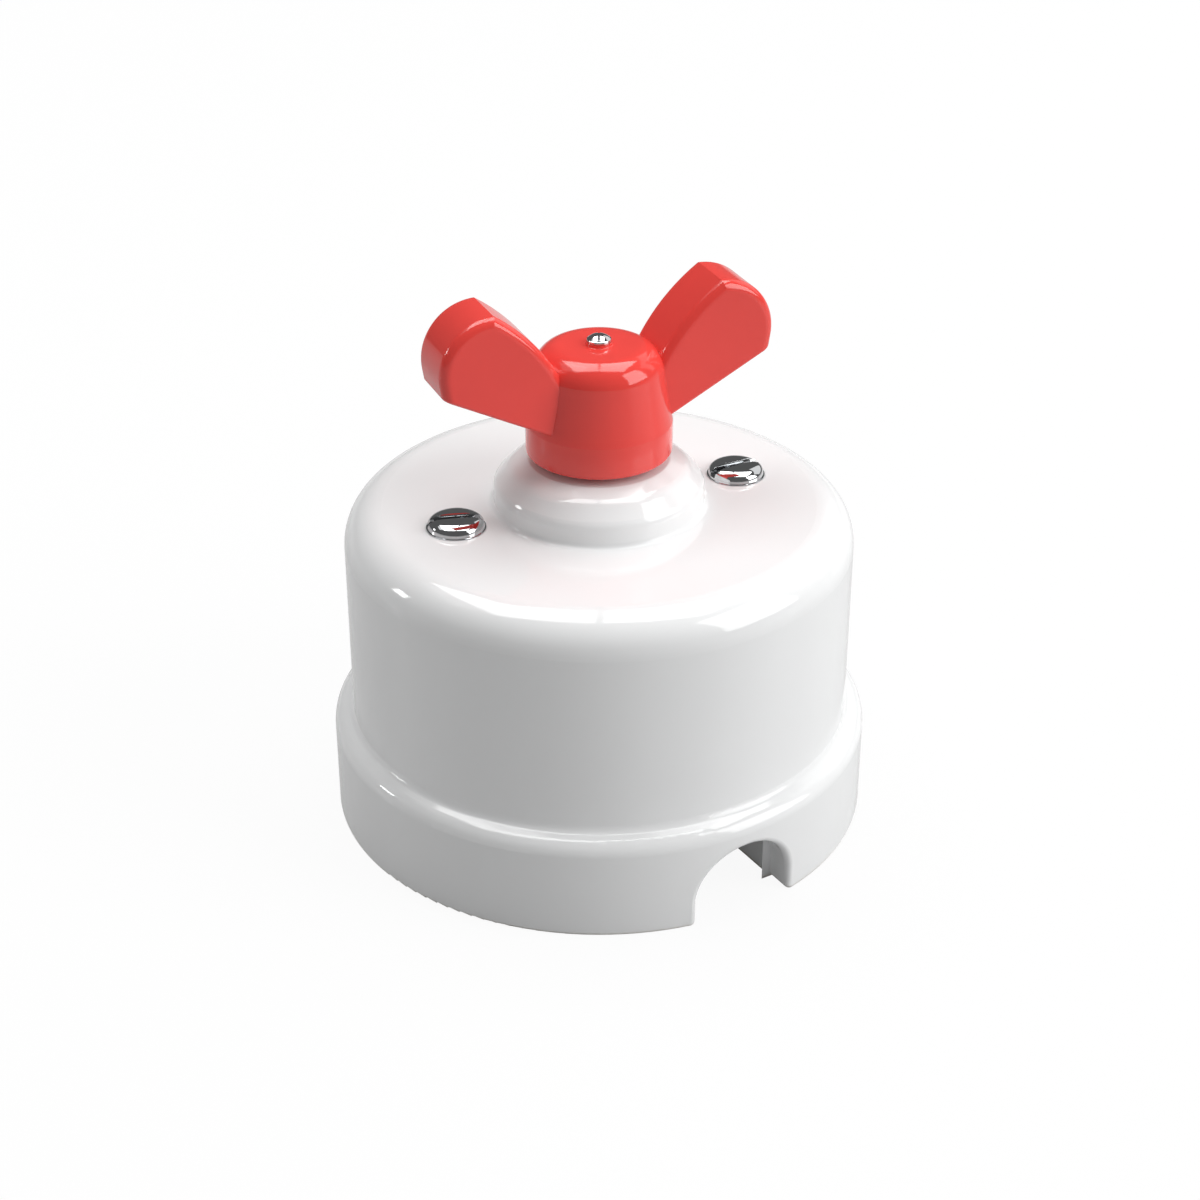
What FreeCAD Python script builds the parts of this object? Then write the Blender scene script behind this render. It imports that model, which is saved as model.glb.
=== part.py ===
import FreeCAD, Part
import math
import os

# Porcelain rotary switch for surface mounting, in millimetres.
# Origin at the centre of the base's underside. +Z points up along the spindle.
# +X runs along the knob's wings at rest, over the two cover screws.

# General fits
slip = 0.05
running_gap = 0.05
loose_gap = 0.5
thread_gap = 0.05
play = 0.1

# How far cutting shapes run past what they cut, and how close an edge must lie to be picked
overrun = 1.0
near = 1e-6

# Cover, outside
cover_radius = 32.5
foot_flare = 2.5
foot_wall_height = 12.9
foot_slope_rise = 1.05
foot_edge_radius = 2.6
foot_fillet = 1.0
rim_edge_radius = 0.4
cover_height = 42.46
crown_radius = 4.9

# Collar round the spindle, reaching out to the countersinks of the cover screws
collar_screw_gap = 2.05
collar_wall_rise = 2.95
collar_shoulder_inset = 2.1
collar_shoulder_rise = 5.15
collar_land_inset = 4.4
collar_rise = 6.15
collar_foot_fillet = 0.7
collar_edge_radius = 1.6
collar_dome_radius = 3.0
collar_land_edge_radius = 0.5

# Cover, inside
cover_wall = 4.0
foot_wall = 4.0
roof_thickness = 4.5
roof_fillet = 3.0
collar_wall = 4.9
collar_core_rise = 5.0
collar_core_fillet = 2.8

# Cable arch in the cover's foot, and the channel behind it
arch_width = 13.6
arch_leg_height = 3.0
arch_edge_radius = 0.7
arch_azimuth = -81.4
channel_inner_radius = 22.0

# Cover screws, with raised countersunk heads. They stand midway between the rotor and the
# cover's wall, and by this shift further out.
cover_screw_shift = 1.05
cover_screw_radius = 2.0
cover_screw_hole_radius = 2.2
cover_screw_head_radius = 3.75
cover_screw_dome_rise = 1.15
cover_screw_edge = 0.05
cover_screw_length = 12.0
cover_screw_slot_width = 1.05
cover_screw_slot_depth = 1.5
cover_screw_turns = (-14.4, 5.6)
countersink_gap = 0.05
countersink_rim_radius = 0.35

# Porcelain base
rim_height = 11.5
rim_wall = 3.0
floor_thickness = 6.0
floor_fillet = 1.0
pivot_boss_radius = 7.0
pivot_boss_rise = 6.0
pivot_depth = 9.0
post_boss_margin = 0.66
post_boss_rise = 3.0
pad_margin = 0.75
pad_rise = 2.0
pad_corner_radius = 1.0
fixing_rim_gap = 0.2
fixing_azimuth = 21.0
fixing_hole_radius = 2.25
fixing_sink_radius = 3.9
fixing_sink_depth = 2.0

# Posts that carry the cover screws
post_across_flats = 7.0
post_top_gap = 0.2
post_chamfer = 0.4

# Screws set into the base from below
post_screw_radius = 2.0
post_screw_head_radius = 3.6
post_screw_head_height = 2.4
post_screw_grip = 6.0
base_screw_radius = 1.5
base_screw_head_radius = 2.75
base_screw_head_height = 1.9
base_screw_grip = 1.8
sink_gap = 0.4
sink_rise = 0.6
slot_width = 0.8
slot_depth = 1.0
head_edge_share = 0.2
base_screw_turn = 35.0

# Terminals, each with its outer corner near the cover's wall
terminal_wall_gap = 2.6
terminal_corner_azimuth = 49.0
terminal_width = 7.0
terminal_length = 8.0
terminal_height = 11.0
terminal_chamfer = 0.4
wire_bore_radius = 1.6
wire_bore_rise = 3.6
clamp_screw_radius = 1.75
clamp_head_radius = 2.75
clamp_head_height = 2.0
clamp_screw_turn = 25.0
clamp_screw_turn_step = 40.0

# Spindle
pivot_radius = 2.0
spindle_flange_radius = 4.0
spindle_flange_thickness = 1.0
spindle_square = 5.0
spindle_corner_radius = 0.3
spindle_radius = 2.5
drive_square = 3.6
drive_corner_radius = 0.2
clip_groove_radius = 2.1

# Thrust washer
washer_radius = 5.0
washer_thickness = 0.5

# Rotor
rotor_radius = 8.0
rotor_height = 6.8
rotor_edge_radius = 0.4
segment_depth = 1.2
segment_height = 4.4
segment_angle = 100.0

# Tightest inner bend of folded strip
least_bend = 0.1

# Contact leaves
leaf_thickness = 0.4
leaf_height = 4.0
leaf_gap = 0.1
leaf_contact_azimuth = 38.0
leaf_bend_radius = 2.0
leaf_heel_radius = 1.5
leaf_bend_margin = 0.5
leaf_tip_reach = 3.2
leaf_tip_azimuth = -42.0
rivet_radius = 0.8
rivet_head_radius = 1.4
rivet_head_height = 0.6
rivet_edge_radius = 0.36
rivet_grip = 1.2
rivet_inset = 2.2

# Index cam and its two springs
cam_square = 11.0
cam_corner_radius = 1.2
cam_height = 6.0
index_thickness = 0.5
index_height = 5.0
index_overhang = 1.0
index_hook = 2.0
index_hook_radius = 0.8

# Yoke that carries the spindle's upper bearing, between the posts and over the pivot boss
yoke_thickness = 1.5
yoke_bend_radius = 2.5
yoke_post_gap = 1.8
yoke_foot_gap = 1.5
yoke_ear = 1.95
yoke_leg_width = 10.0
yoke_shoulder_margin = 1.5
yoke_head_gap = 1.1

# Spindle bush
bush_wall = 1.5
bush_flange_radius = 5.5
bush_flange_thickness = 1.0

# Retaining clip
clip_radius = 4.5
clip_thickness = 0.8
clip_mouth = 3.0

# Knob
knob_gap = 0.95
knob_foot_radius = 9.25
knob_band_height = 4.25
knob_waist_radius = 8.53
knob_waist_rise = 8.15
knob_crown_radius = 8.1
knob_crown_rise = 11.5
knob_crown_rounding = 3.3
knob_dome_edge_rise = 14.2
knob_dome_rise = 0.06
knob_foot_edge = 0.6
knob_boss_radius = 1.66
knob_boss_rise = 0.36
knob_boss_fillet = 0.15

# Wings, measured from the knob's underside
wing_thickness = 8.5
wing_outer_reach = 21.95
wing_end_lean = 0.33
wing_corner_rise = 11.86
wing_tip_radius = 7.05
wing_tip_rise = 14.45
wing_inner_bow = 0.76
wing_inner_foot_reach = 6.56
wing_inner_foot_rise = 12.43
wing_root_reach = 5.2
wing_root_rise = 3.45
wing_edge_radius = 1.2
wing_lower_edge_radius = 0.45

# Insert moulded into the knob
insert_radius = 4.0
insert_length = 10.0
insert_set_back = 0.5
insert_chamfer = 0.3

# Knob screw
knob_screw_radius = 1.0
knob_screw_head_radius = 1.46
knob_screw_head_height = 0.15
knob_screw_dome_rise = 0.95
knob_screw_depth = 8.0
knob_screw_slot_width = 0.4
knob_screw_slot_depth = 0.45
knob_screw_turn = 30.0

# Heights and radii that follow from the values above
foot_radius = cover_radius + foot_flare
cavity_radius = cover_radius - cover_wall
recess_radius = foot_radius - foot_wall
base_radius = recess_radius - loose_gap
cover_screw_offset = (cavity_radius + rotor_radius) / 2 + cover_screw_shift
countersink_radius = cover_screw_head_radius + cover_screw_edge + countersink_gap
collar_radius = cover_screw_offset - countersink_radius - collar_screw_gap
collar_land_radius = collar_radius - collar_land_inset
collar_core_radius = collar_radius - collar_wall
post_corner_radius = post_across_flats / math.sqrt(3)
post_boss_radius = post_corner_radius + post_boss_margin
fixing_circle_radius = base_radius - rim_wall - fixing_sink_radius - fixing_rim_gap
terminal_corner_reach = cavity_radius - terminal_wall_gap
terminal_corner_angle = math.radians(terminal_corner_azimuth)
terminal_offset_x = terminal_corner_reach * math.cos(terminal_corner_angle) - terminal_width / 2
terminal_offset_y = terminal_corner_reach * math.sin(terminal_corner_angle) - terminal_length / 2
roof_underside = cover_height - roof_thickness
collar_top = cover_height + collar_rise
post_boss_top = floor_thickness + post_boss_rise
pad_top = floor_thickness + pad_rise
terminal_top = pad_top + terminal_height
pivot_boss_top = floor_thickness + pivot_boss_rise
flange_bottom = pivot_boss_top + washer_thickness + running_gap
rotor_bottom = flange_bottom + spindle_flange_thickness
rotor_top = rotor_bottom + rotor_height
cam_top = rotor_top + cam_height
yoke_underside = cam_top + yoke_head_gap
yoke_top = yoke_underside + yoke_thickness
yoke_half_span = cover_screw_offset - post_across_flats / 2 - yoke_post_gap
yoke_foot_end = pivot_boss_radius + yoke_foot_gap
yoke_hole_offset = (yoke_foot_end + yoke_half_span - yoke_thickness) / 2
bush_radius = spindle_radius + running_gap + bush_wall
bush_top = yoke_top + bush_flange_thickness
clip_bottom = bush_top + play
cam_half = cam_square / 2
index_inner = cam_half + running_gap
index_outer = index_inner + index_thickness
yoke_width = 2 * (index_outer + yoke_ear)
index_bottom = rotor_top + (cam_height - index_height) / 2
segment_bottom = rotor_bottom + (rotor_height - segment_height) / 2
leaf_bottom = rotor_bottom + (rotor_height - leaf_height) / 2
leaf_face = terminal_offset_x - terminal_width / 2
wire_bore_z = pad_top + wire_bore_rise
knob_bottom = collar_top + knob_gap
insert_bottom = knob_bottom + insert_set_back
insert_top = insert_bottom + insert_length
knob_top = knob_bottom + knob_dome_edge_rise + knob_dome_rise
knob_screw_seat = knob_top + knob_boss_rise


def vec(x, y, z):
    return FreeCAD.Vector(x, y, z)


def polar(radius, azimuth):
    angle = math.radians(azimuth)
    return radius * math.cos(angle), radius * math.sin(angle)


def toward(start, end):
    """Unit direction and distance between two points of an outline."""
    dx = end[0] - start[0]
    dy = end[1] - start[1]
    length = math.hypot(dx, dy)
    return dx / length, dy / length, length


def rounded_corner(before, corner, after):
    """Where the rounding of a corner starts, its middle and its end."""
    back = toward(corner, before)
    ahead = toward(corner, after)
    cosine = back[0] * ahead[0] + back[1] * ahead[1]
    half = math.acos(max(-1.0, min(1.0, cosine))) / 2
    radius = min(corner[2], 0.49 * min(back[2], ahead[2]) * math.tan(half))
    run = radius / math.tan(half)
    middle = toward((0, 0), (back[0] + ahead[0], back[1] + ahead[1]))
    reach = radius / math.sin(half) - radius
    start = (corner[0] + back[0] * run, corner[1] + back[1] * run)
    end = (corner[0] + ahead[0] * run, corner[1] + ahead[1] * run)
    return start, (corner[0] + middle[0] * reach, corner[1] + middle[1] * reach), end


def closed_outline(corners, place):
    """Closed wire through (a, b, radius) corners, placed in space by place(a, b)."""
    pieces = []
    for i, corner in enumerate(corners):
        if corner[2] > 0:
            pieces.append(rounded_corner(corners[i - 1], corner, corners[(i + 1) % len(corners)]))
        else:
            pieces.append((corner[:2], None, corner[:2]))
    edges = []
    for i, (start, middle, end) in enumerate(pieces):
        if middle:
            edges.append(Part.Arc(place(*start), place(*middle), place(*end)).toShape())
        following = pieces[(i + 1) % len(pieces)][0]
        if math.dist(end, following) > 1e-6:
            edges.append(Part.makeLine(place(*end), place(*following)))
    return Part.Wire(edges)


def in_profile(r, z):
    return vec(r, 0, z)


def in_plan(x, y):
    return vec(x, y, 0)


def turned(corners):
    """Solid of revolution about Z of a profile of (radius, height, rounding) corners."""
    face = Part.Face(closed_outline(corners, in_profile))
    return face.revolve(vec(0, 0, 0), vec(0, 0, 1), 360)


def extruded(corners, bottom, top):
    """Upright prism over a plan outline of (x, y, rounding) corners."""
    face = Part.Face(closed_outline(corners, in_plan))
    solid = face.extrude(vec(0, 0, top - bottom))
    solid.translate(vec(0, 0, bottom))
    return solid


def strip(path, thickness):
    """Corners of a bent strip: the path is its outer face, the metal lies to its left."""
    directions = [toward(path[i], path[i + 1]) for i in range(len(path) - 1)]
    inner = []
    for i, (x, y, radius) in enumerate(path):
        before = directions[max(i - 1, 0)]
        after = directions[min(i, len(directions) - 1)]
        left_before = (-before[1], before[0])
        left_after = (-after[1], after[0])
        share = thickness / (1 + left_before[0] * left_after[0] + left_before[1] * left_after[1])
        side = before[0] * after[1] - before[1] * after[0]
        inner_radius = max(radius - thickness, least_bend) if side > 0 else radius + thickness
        inner.append((
            x + (left_before[0] + left_after[0]) * share,
            y + (left_before[1] + left_after[1]) * share,
            inner_radius if radius > 0 else 0,
        ))
    return list(path) + inner[::-1]


def cylinder(radius, bottom, top, x=0.0, y=0.0):
    return Part.makeCylinder(radius, top - bottom, vec(x, y, bottom))


def block(x_low, x_high, y_low, y_high, z_low, z_high):
    return Part.makeBox(x_high - x_low, y_high - y_low, z_high - z_low, vec(x_low, y_low, z_low))


def square_bar(side, bottom, top, corner_radius=0.0):
    half = side / 2
    corners = [(-half, -half), (half, -half), (half, half), (-half, half)]
    return extruded([(x, y, corner_radius) for x, y in corners], bottom, top)


def ring(outer, inner, bottom, top):
    return cylinder(outer, bottom, top).cut(cylinder(inner, bottom, top))


def dome_arc(radius, rise, bottom):
    """Round dome in profile, from its rim at the bottom height to its top on the axis."""
    sphere = (radius ** 2 + rise ** 2) / (2 * rise)
    middle = radius / 2
    height = rise - sphere + math.sqrt(sphere ** 2 - middle ** 2)
    rim = in_profile(radius, bottom)
    return Part.Arc(rim, in_profile(middle, bottom + height), in_profile(0, bottom + rise)).toShape()


def mirrored(shape, side_x, side_y):
    """The shape in another quarter: side_x and side_y are 1 or -1."""
    if side_x < 0:
        shape = shape.mirror(vec(0, 0, 0), vec(1, 0, 0))
    if side_y < 0:
        shape = shape.mirror(vec(0, 0, 0), vec(0, 1, 0))
    return shape


def moved(shape, x, y, z=0.0):
    copy = shape.copy()
    copy.translate(vec(x, y, z))
    return copy


def spun(shape, angle):
    copy = shape.copy()
    copy.rotate(vec(0, 0, 0), vec(0, 0, 1), angle)
    return copy


def edges_where(shape, test):
    return [edge for edge in shape.Edges if test(edge)]


quarters = [(x, y) for x in (1, -1) for y in (1, -1)]
quarter_names = {(1, 1): "rear_right", (1, -1): "front_right", (-1, 1): "rear_left", (-1, -1): "front_left"}


def arch_tool(inner_radius, outer_radius):
    """The tunnel of the cable arch, along its own azimuth."""
    half = arch_width / 2
    top = arch_leg_height + half
    below = -overrun
    edges = [
        Part.makeLine(vec(0, -half, below), vec(0, half, below)),
        Part.makeLine(vec(0, half, below), vec(0, half, arch_leg_height)),
        Part.Arc(vec(0, half, arch_leg_height), vec(0, 0, top), vec(0, -half, arch_leg_height)).toShape(),
        Part.makeLine(vec(0, -half, arch_leg_height), vec(0, -half, below)),
    ]
    tunnel = Part.Face(Part.Wire(edges)).extrude(vec(outer_radius - inner_radius, 0, 0))
    tunnel.translate(vec(inner_radius, 0, 0))
    return spun(tunnel, arch_azimuth)


def cover_outside():
    shoulder_z = cover_height + collar_shoulder_rise
    return turned([
        (0, 0, 0),
        (foot_radius, 0, rim_edge_radius),
        (foot_radius, foot_wall_height, foot_edge_radius),
        (cover_radius, foot_wall_height + foot_slope_rise, foot_fillet),
        (cover_radius, cover_height, crown_radius),
        (collar_radius, cover_height, collar_foot_fillet),
        (collar_radius, cover_height + collar_wall_rise, collar_edge_radius),
        (collar_radius - collar_shoulder_inset, shoulder_z, collar_dome_radius),
        (collar_land_radius, collar_top, collar_land_edge_radius),
        (0, collar_top, 0),
    ])


def cover_inside():
    return turned([
        (0, -overrun, 0),
        (recess_radius, -overrun, 0),
        (recess_radius, rim_height, 0),
        (cavity_radius, rim_height, 0),
        (cavity_radius, roof_underside, roof_fillet),
        (collar_core_radius, roof_underside, 0),
        (collar_core_radius, roof_underside + collar_core_rise, collar_core_fillet),
        (0, roof_underside + collar_core_rise, 0),
    ])


def countersink_tool():
    """Hole for a raised countersunk screw, with its 90 degree seat."""
    drop = countersink_radius - cover_screw_hole_radius
    return turned([
        (0, -roof_thickness - overrun, 0),
        (cover_screw_hole_radius, -roof_thickness - overrun, 0),
        (cover_screw_hole_radius, -drop, 0),
        (countersink_radius, 0, 0),
        (countersink_radius, overrun, 0),
        (0, overrun, 0),
    ])


def make_cover():
    cover = cover_outside().cut(cover_inside())
    cover = cover.cut(cylinder(spindle_radius + loose_gap, roof_underside, collar_top + overrun))
    for side in (1, -1):
        cover = cover.cut(moved(countersink_tool(), side * cover_screw_offset, 0, cover_height))
    cover = cover.cut(arch_tool(base_radius, foot_radius + overrun))

    def on_arch_mouth(edge):
        box = edge.BoundBox
        middle = edge.valueAt((edge.FirstParameter + edge.LastParameter) / 2)
        on_foot = abs(math.hypot(middle.x, middle.y) - foot_radius) < slip
        upright = box.ZLength > arch_leg_height / 2
        return on_foot and upright and box.DiagonalLength < foot_radius

    def on_countersink(edge):
        if not isinstance(edge.Curve, Part.Circle):
            return False
        centre = edge.Curve.Center
        flat = edge.BoundBox.ZLength < near and abs(centre.z - cover_height) < near
        return flat and abs(edge.Curve.Radius - countersink_radius) < near

    cover = cover.makeFillet(countersink_rim_radius, edges_where(cover, on_countersink))
    return cover.makeFillet(arch_edge_radius, edges_where(cover, on_arch_mouth))


def make_cover_screws():
    """Raised countersunk screws, each with its slot turned its own way."""
    head = cover_screw_head_radius
    slope_drop = head - cover_screw_radius
    screws = []
    for side, turn in zip((-1, 1), cover_screw_turns):
        corners = [
            vec(head, 0, 0),
            vec(head, 0, -cover_screw_edge),
            vec(cover_screw_radius, 0, -cover_screw_edge - slope_drop),
            vec(cover_screw_radius, 0, -cover_screw_length),
            vec(0, 0, -cover_screw_length),
            vec(0, 0, cover_screw_dome_rise),
        ]
        lines = [Part.makeLine(a, b) for a, b in zip(corners, corners[1:])]
        outline = Part.Wire([dome_arc(head, cover_screw_dome_rise, 0)] + lines)
        screw = Part.Face(outline).revolve(vec(0, 0, 0), vec(0, 0, 1), 360)
        half = cover_screw_slot_width / 2
        reach = head + overrun
        top = cover_screw_dome_rise
        screw = screw.cut(block(-reach, reach, -half, half, top - cover_screw_slot_depth, top + overrun))
        screws.append(moved(spun(screw, turn), side * cover_screw_offset, 0, cover_height))
    return Part.makeCompound(screws)


def terminal_pad(side_x, side_y):
    half_x = terminal_width / 2 + pad_margin
    half_y = terminal_length / 2 + pad_margin
    corners = [(-half_x, -half_y), (half_x, -half_y), (half_x, half_y), (-half_x, half_y)]
    pad = extruded([(x, y, pad_corner_radius) for x, y in corners], 0, pad_top)
    return moved(pad, side_x * terminal_offset_x, side_y * terminal_offset_y)


def screw_places():
    """Centres of the small screws that come up through the base."""
    feet = [(side * yoke_hole_offset, 0) for side in (1, -1)]
    return [(x * terminal_offset_x, y * terminal_offset_y) for x, y in quarters] + feet


def make_base():
    inner = base_radius - rim_wall
    base = turned([
        (0, 0, 0),
        (base_radius, 0, rim_edge_radius),
        (base_radius, rim_height, 0),
        (inner, rim_height, rim_edge_radius),
        (inner, floor_thickness, floor_fillet),
        (0, floor_thickness, 0),
    ])
    base = base.fuse(cylinder(pivot_boss_radius, 0, pivot_boss_top))
    for side in (1, -1):
        base = base.fuse(cylinder(post_boss_radius, 0, post_boss_top, side * cover_screw_offset))
    for x, y in quarters:
        base = base.fuse(terminal_pad(x, y))
    base = base.removeSplitter()

    half = arch_width / 2
    over = rim_height + overrun
    channel = block(channel_inner_radius, foot_radius, -half, half, -overrun, over)
    channel = channel.fuse(cylinder(half, -overrun, over, channel_inner_radius))
    base = base.cut(spun(channel, arch_azimuth))

    pivot_floor = pivot_boss_top - pivot_depth
    base = base.cut(cylinder(pivot_radius + running_gap, pivot_floor, pivot_boss_top + overrun))
    for azimuth in (fixing_azimuth, fixing_azimuth + 180):
        x, y = polar(fixing_circle_radius, azimuth)
        base = base.cut(cylinder(fixing_hole_radius, -overrun, floor_thickness + overrun, x, y))
        base = base.cut(cylinder(fixing_sink_radius, floor_thickness - fixing_sink_depth, rim_height, x, y))
    small_sink = sink_rise + base_screw_head_height
    for x, y in screw_places():
        base = base.cut(cylinder(base_screw_radius + slip, -overrun, pad_top + overrun, x, y))
        base = base.cut(cylinder(base_screw_head_radius + sink_gap, -overrun, small_sink, x, y))
    large_sink = sink_rise + post_screw_head_height
    for side in (1, -1):
        x = side * cover_screw_offset
        base = base.cut(cylinder(post_screw_radius + slip, -overrun, post_boss_top + overrun, x))
        base = base.cut(cylinder(post_screw_head_radius + sink_gap, -overrun, large_sink, x))
    return base


def slotted_screw(head_radius, head_height, shank_radius, shank_length):
    """Screw with its head at the bottom, the seat of the head at height zero."""
    screw = cylinder(head_radius, -head_height, 0).fuse(cylinder(shank_radius, 0, shank_length))
    rim = edges_where(screw, lambda edge: abs(edge.BoundBox.ZMax + head_height) < near)
    screw = screw.makeFillet(min(head_height, head_radius) * head_edge_share, rim)
    half = slot_width / 2
    reach = head_radius + overrun
    return screw.cut(block(-reach, reach, -half, half, -head_height - overrun, -head_height + slot_depth))


def make_base_screws():
    seat = sink_rise + base_screw_head_height
    screws = []
    for x, y in screw_places():
        seat_on = floor_thickness if y == 0 else pad_top
        length = seat_on - seat + (yoke_thickness if y == 0 else base_screw_grip)
        screw = slotted_screw(base_screw_head_radius, base_screw_head_height, base_screw_radius, length)
        screws.append(moved(spun(screw, base_screw_turn), x, y, seat))
    return Part.makeCompound(screws)


def make_post_screws():
    seat = sink_rise + post_screw_head_height
    length = post_boss_top - seat + post_screw_grip
    screw = slotted_screw(post_screw_head_radius, post_screw_head_height, post_screw_radius, length)
    return Part.makeCompound([moved(screw, side * cover_screw_offset, 0, seat) for side in (1, -1)])


def make_cover_posts():
    """Hexagonal posts from the base to the roof of the cover, tapped at both ends."""
    top = roof_underside - post_top_gap
    corners = [(*polar(post_corner_radius, 60 * i + 30), 0) for i in range(6)]
    hexagon = extruded(corners, post_boss_top, top)
    flat_radius = post_across_flats / 2
    ends = turned([
        (0, post_boss_top, 0),
        (flat_radius, post_boss_top, 0),
        (post_corner_radius, post_boss_top + post_chamfer, 0),
        (post_corner_radius, top - post_chamfer, 0),
        (flat_radius, top, 0),
        (0, top, 0),
    ])
    post = hexagon.common(ends)
    screw_tip = cover_height - cover_screw_length
    post = post.cut(cylinder(cover_screw_radius + thread_gap, screw_tip - overrun, top + overrun))
    bottom_tip = post_boss_top + post_screw_grip + overrun
    post = post.cut(cylinder(post_screw_radius + thread_gap, post_boss_top - overrun, bottom_tip))
    return Part.makeCompound([moved(post, side * cover_screw_offset, 0) for side in (1, -1)])


def make_terminal(side_x, side_y):
    """Brass block with a bore for the wire, its clamp screw above and its fixing below."""
    half_x = terminal_width / 2
    half_y = terminal_length / 2
    body = block(-half_x, half_x, -half_y, half_y, pad_top, terminal_top)
    upright = edges_where(body, lambda edge: edge.BoundBox.ZLength > terminal_height / 2)
    body = body.makeChamfer(terminal_chamfer, upright)
    bore_start = vec(0, -half_y - overrun, wire_bore_z)
    bore = Part.makeCylinder(wire_bore_radius, terminal_length + 2 * overrun, bore_start, vec(0, 1, 0))
    body = body.cut(bore)
    body = body.cut(cylinder(clamp_screw_radius + thread_gap, wire_bore_z, terminal_top + overrun))
    body = body.cut(cylinder(base_screw_radius + thread_gap, pad_top - overrun, wire_bore_z))
    rivet_y = half_y - rivet_inset
    rivet_z = leaf_bottom + leaf_height / 2
    hole_start = vec(-half_x, rivet_y, rivet_z)
    hole = Part.makeCylinder(rivet_radius + slip, rivet_grip + slip, hole_start, vec(1, 0, 0))
    body = moved(body.cut(hole), terminal_offset_x, terminal_offset_y)
    return mirrored(body, side_x, side_y)


def make_clamp_screws():
    tip = wire_bore_z + wire_bore_radius
    length = terminal_top - tip
    screw = slotted_screw(clamp_head_radius, clamp_head_height, clamp_screw_radius, length)
    screw.rotate(vec(0, 0, 0), vec(1, 0, 0), 180)
    screws = []
    for number, (x, y) in enumerate(quarters):
        place = (x * terminal_offset_x, y * terminal_offset_y, terminal_top)
        turn = clamp_screw_turn + clamp_screw_turn_step * number
        screws.append(moved(spun(screw, turn), *place))
    return Part.makeCompound(screws)


def leaf_path():
    """Drum side of the leaf: down the terminal's face, in to the rotor, out at the tip."""
    face = leaf_face - leaf_thickness
    end_y = terminal_offset_y + terminal_length / 2
    bend_y = terminal_offset_y - terminal_length / 2 + leaf_bend_margin
    heel_x, heel_y = polar(rotor_radius + leaf_gap, leaf_contact_azimuth)
    tip_dx, tip_dy = polar(leaf_tip_reach, leaf_tip_azimuth)
    return [
        (face, end_y, 0),
        (face, bend_y, leaf_bend_radius),
        (heel_x, heel_y, leaf_heel_radius),
        (heel_x + tip_dx, heel_y + tip_dy, 0),
    ]


def rivet_place():
    y = terminal_offset_y + terminal_length / 2 - rivet_inset
    return y, leaf_bottom + leaf_height / 2


def make_contact_leaf(side_x, side_y):
    leaf = extruded(strip(leaf_path(), leaf_thickness), leaf_bottom, leaf_bottom + leaf_height)
    y, z = rivet_place()
    hole_start = vec(leaf_face - overrun, y, z)
    hole = Part.makeCylinder(rivet_radius + slip, 2 * overrun, hole_start, vec(1, 0, 0))
    return mirrored(leaf.cut(hole), side_x, side_y)


def make_leaf_rivets():
    y, z = rivet_place()
    seat = leaf_face - leaf_thickness
    head_start = vec(seat - rivet_head_height, y, z)
    head = Part.makeCylinder(rivet_head_radius, rivet_head_height, head_start, vec(1, 0, 0))
    rim = edges_where(head, lambda edge: edge.BoundBox.XMax < seat - rivet_head_height / 2)
    head = head.makeFillet(rivet_edge_radius, rim)
    shank = Part.makeCylinder(rivet_radius, leaf_thickness + rivet_grip, vec(seat, y, z), vec(1, 0, 0))
    rivet = head.fuse(shank)
    return Part.makeCompound([mirrored(rivet, x, y) for x, y in quarters])


def make_yoke():
    """Folded steel bracket: two feet, two legs and the bridge over the rotor."""
    path = [
        (yoke_foot_end, floor_thickness, 0),
        (yoke_half_span, floor_thickness, yoke_bend_radius),
        (yoke_half_span, yoke_top, yoke_bend_radius),
        (-yoke_half_span, yoke_top, yoke_bend_radius),
        (-yoke_half_span, floor_thickness, yoke_bend_radius),
        (-yoke_foot_end, floor_thickness, 0),
    ]
    face = Part.Face(closed_outline(strip(path, yoke_thickness), in_profile))
    yoke = face.extrude(vec(0, yoke_width, 0))
    yoke.translate(vec(0, -yoke_width / 2, 0))
    shoulder = index_bottom - yoke_shoulder_margin
    beyond = yoke_half_span + overrun
    for side in (1, -1):
        inside = side * yoke_leg_width / 2
        outside = side * (yoke_width / 2 + overrun)
        y_low = min(inside, outside)
        y_high = max(inside, outside)
        yoke = yoke.cut(block(-beyond, beyond, y_low, y_high, floor_thickness - overrun, shoulder))
        low = side * (index_inner - play)
        high = side * (index_outer + play)
        slot_top = index_bottom + index_height + play
        slot = block(-beyond, beyond, min(low, high), max(low, high), index_bottom - play, slot_top)
        yoke = yoke.cut(slot)
        hole_top = floor_thickness + yoke_bend_radius
        yoke = yoke.cut(cylinder(base_screw_radius + thread_gap, 0, hole_top, side * yoke_hole_offset))
    return yoke.cut(cylinder(bush_radius + slip, yoke_underside - overrun, yoke_top + overrun))


def make_spindle_bush():
    bore = spindle_radius + running_gap
    body = ring(bush_radius, bore, yoke_underside, yoke_top)
    return body.fuse(ring(bush_flange_radius, bore, yoke_top, bush_top)).removeSplitter()


def make_thrust_washer():
    return ring(washer_radius, pivot_radius + play, pivot_boss_top, pivot_boss_top + washer_thickness)


def make_index_spring(side):
    """Flat spring through slots in both yoke legs, hooked behind one of them."""
    hook_x = yoke_half_span + index_overhang
    path = [
        (-yoke_half_span - index_overhang, index_inner, 0),
        (hook_x, index_inner, index_hook_radius),
        (hook_x, index_inner + index_hook, 0),
    ]
    spring = extruded(strip(path, index_thickness), index_bottom, index_bottom + index_height)
    return spring if side > 0 else spun(spring, 180)


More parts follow.
